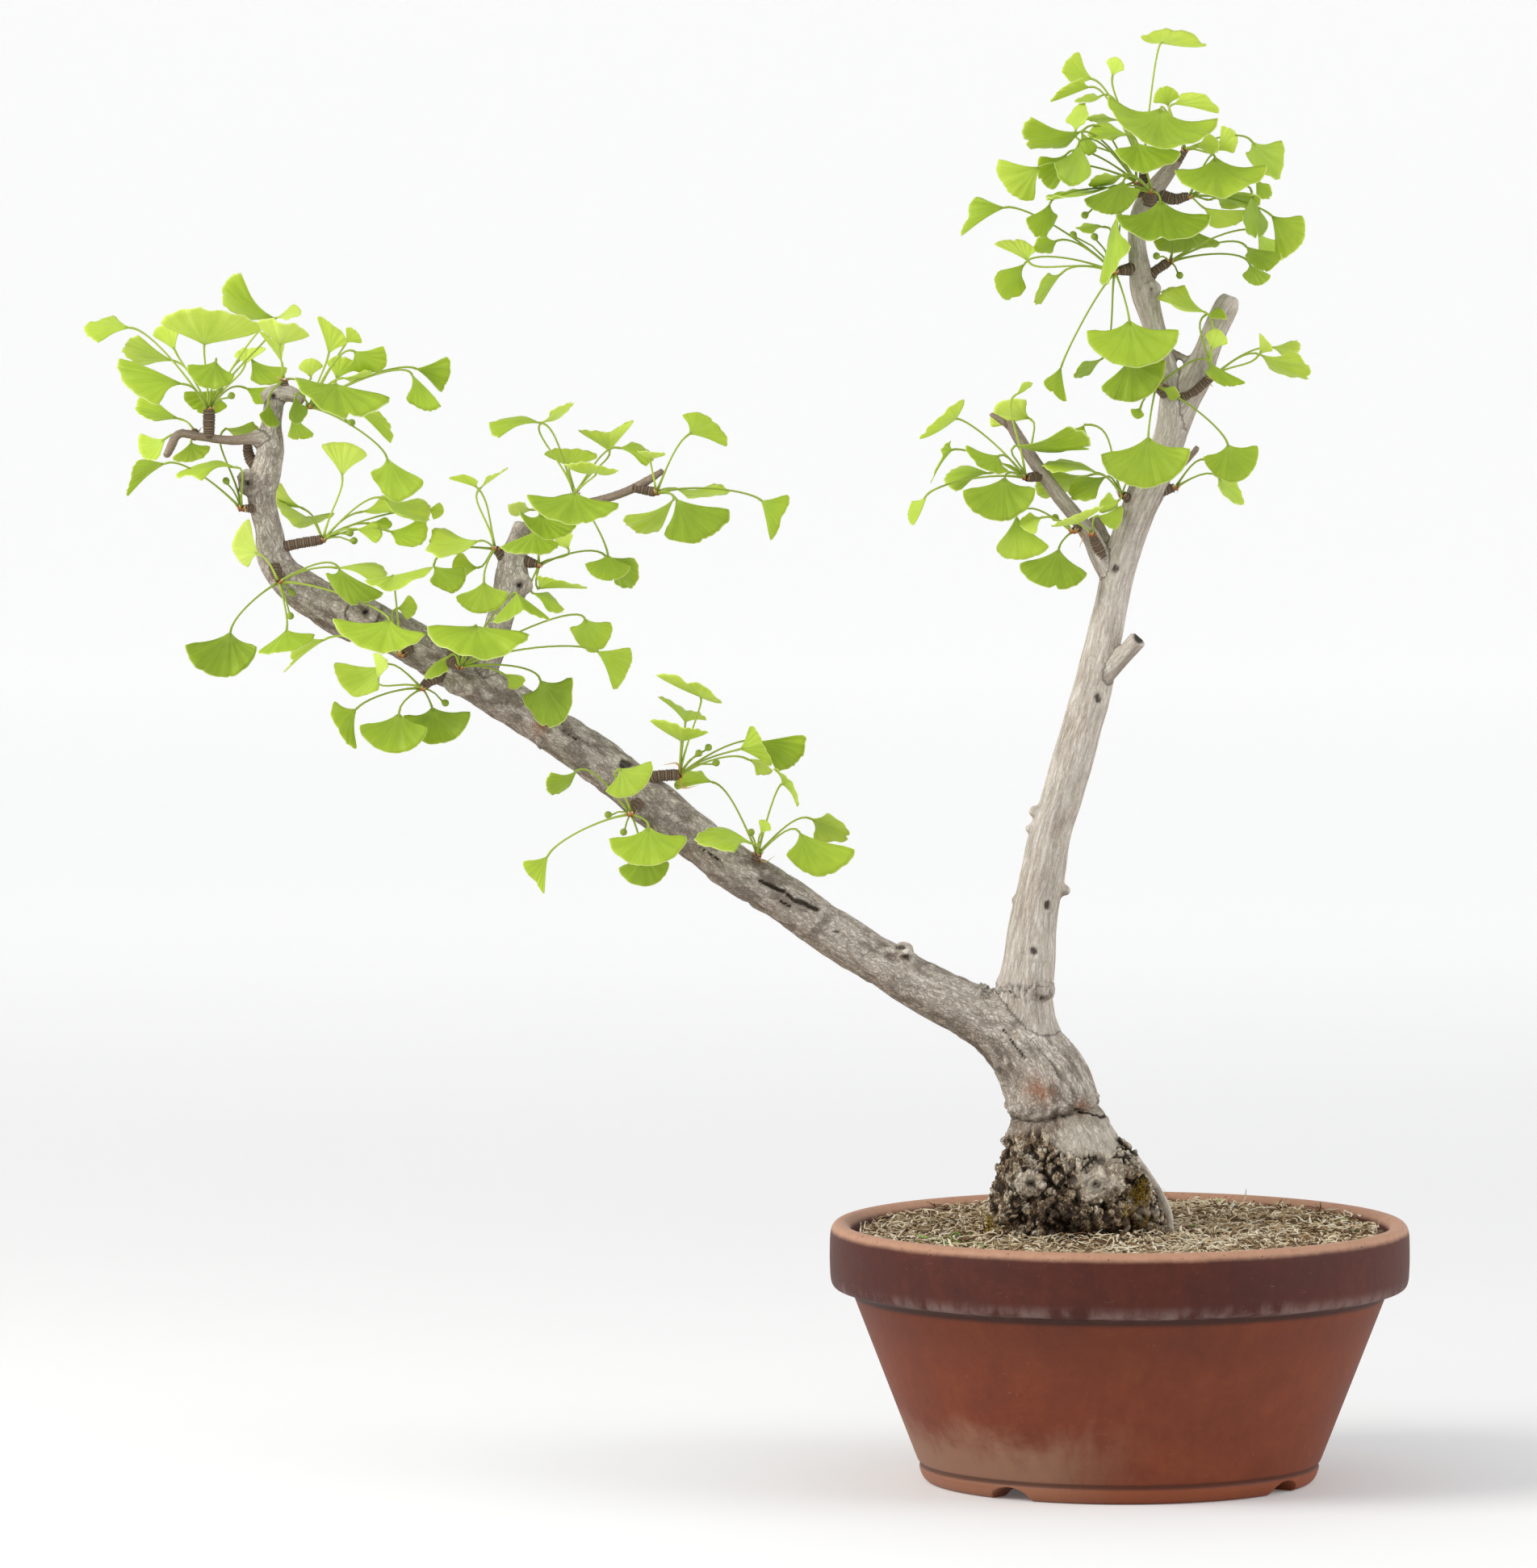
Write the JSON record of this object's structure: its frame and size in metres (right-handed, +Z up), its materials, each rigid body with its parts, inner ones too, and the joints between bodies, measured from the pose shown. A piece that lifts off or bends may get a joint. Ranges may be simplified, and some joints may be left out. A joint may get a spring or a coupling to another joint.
{
  "type": "ginkgo bonsai",
  "caption": "Ginkgo bonsai with two leaning trunks, short spurs and long-stalked fan leaves, in a round unglazed clay bowl filled with soil.",
  "frame": {"origin": "centre of the bowl's foot, on the surface it stands on", "axes": "+Z up, +X to the right and -Y toward the viewer, seen from the tree's front"},
  "size_m": [0.6834, 0.3, 0.7504],
  "materials": {
    "terracotta": "unglazed fired clay",
    "growing_mix": "loose granular growing mix with dry moss on top",
    "bark": "live furrowed bark",
    "leaf_green": "thin matt living leaf"
  },
  "bodies": {
    "root": {"pot": "terracotta", "soil": "growing_mix", "tree_wood": "bark", "spray_upper_left_a": "leaf_green", "spray_twig_back": "leaf_green", "spray_upper_left_b": "leaf_green", "spray_left_head": "leaf_green", "spray_left_head_top": "leaf_green", "spray_left_ringed_spur": "leaf_green", "spray_left_bend": "leaf_green", "spray_left_under_a": "leaf_green", "spray_left_under_b": "leaf_green", "spray_left_under_c": "leaf_green", "spray_left_branch_west": "leaf_green", "spray_left_branch_east": "leaf_green", "spray_long_twig_middle": "leaf_green", "spray_long_twig_end": "leaf_green", "spray_left_middle_under": "leaf_green", "spray_left_middle_spur": "leaf_green", "spray_left_low_bud": "leaf_green", "spray_side_branch_tip": "leaf_green", "spray_side_branch_back": "leaf_green", "spray_side_branch_middle": "leaf_green", "spray_side_branch_foot": "leaf_green", "spray_right_trunk_west": "leaf_green", "spray_right_trunk_east": "leaf_green", "spray_fork_front": "leaf_green", "spray_stub_spur": "leaf_green", "spray_leader_west": "leaf_green", "spray_leader_east": "leaf_green", "spray_crown_front": "leaf_green", "spray_crown_east": "leaf_green", "spray_crown_west": "leaf_green", "spray_crown_back": "leaf_green", "spray_crown_top": "leaf_green"}
  },
  "joints": []
}
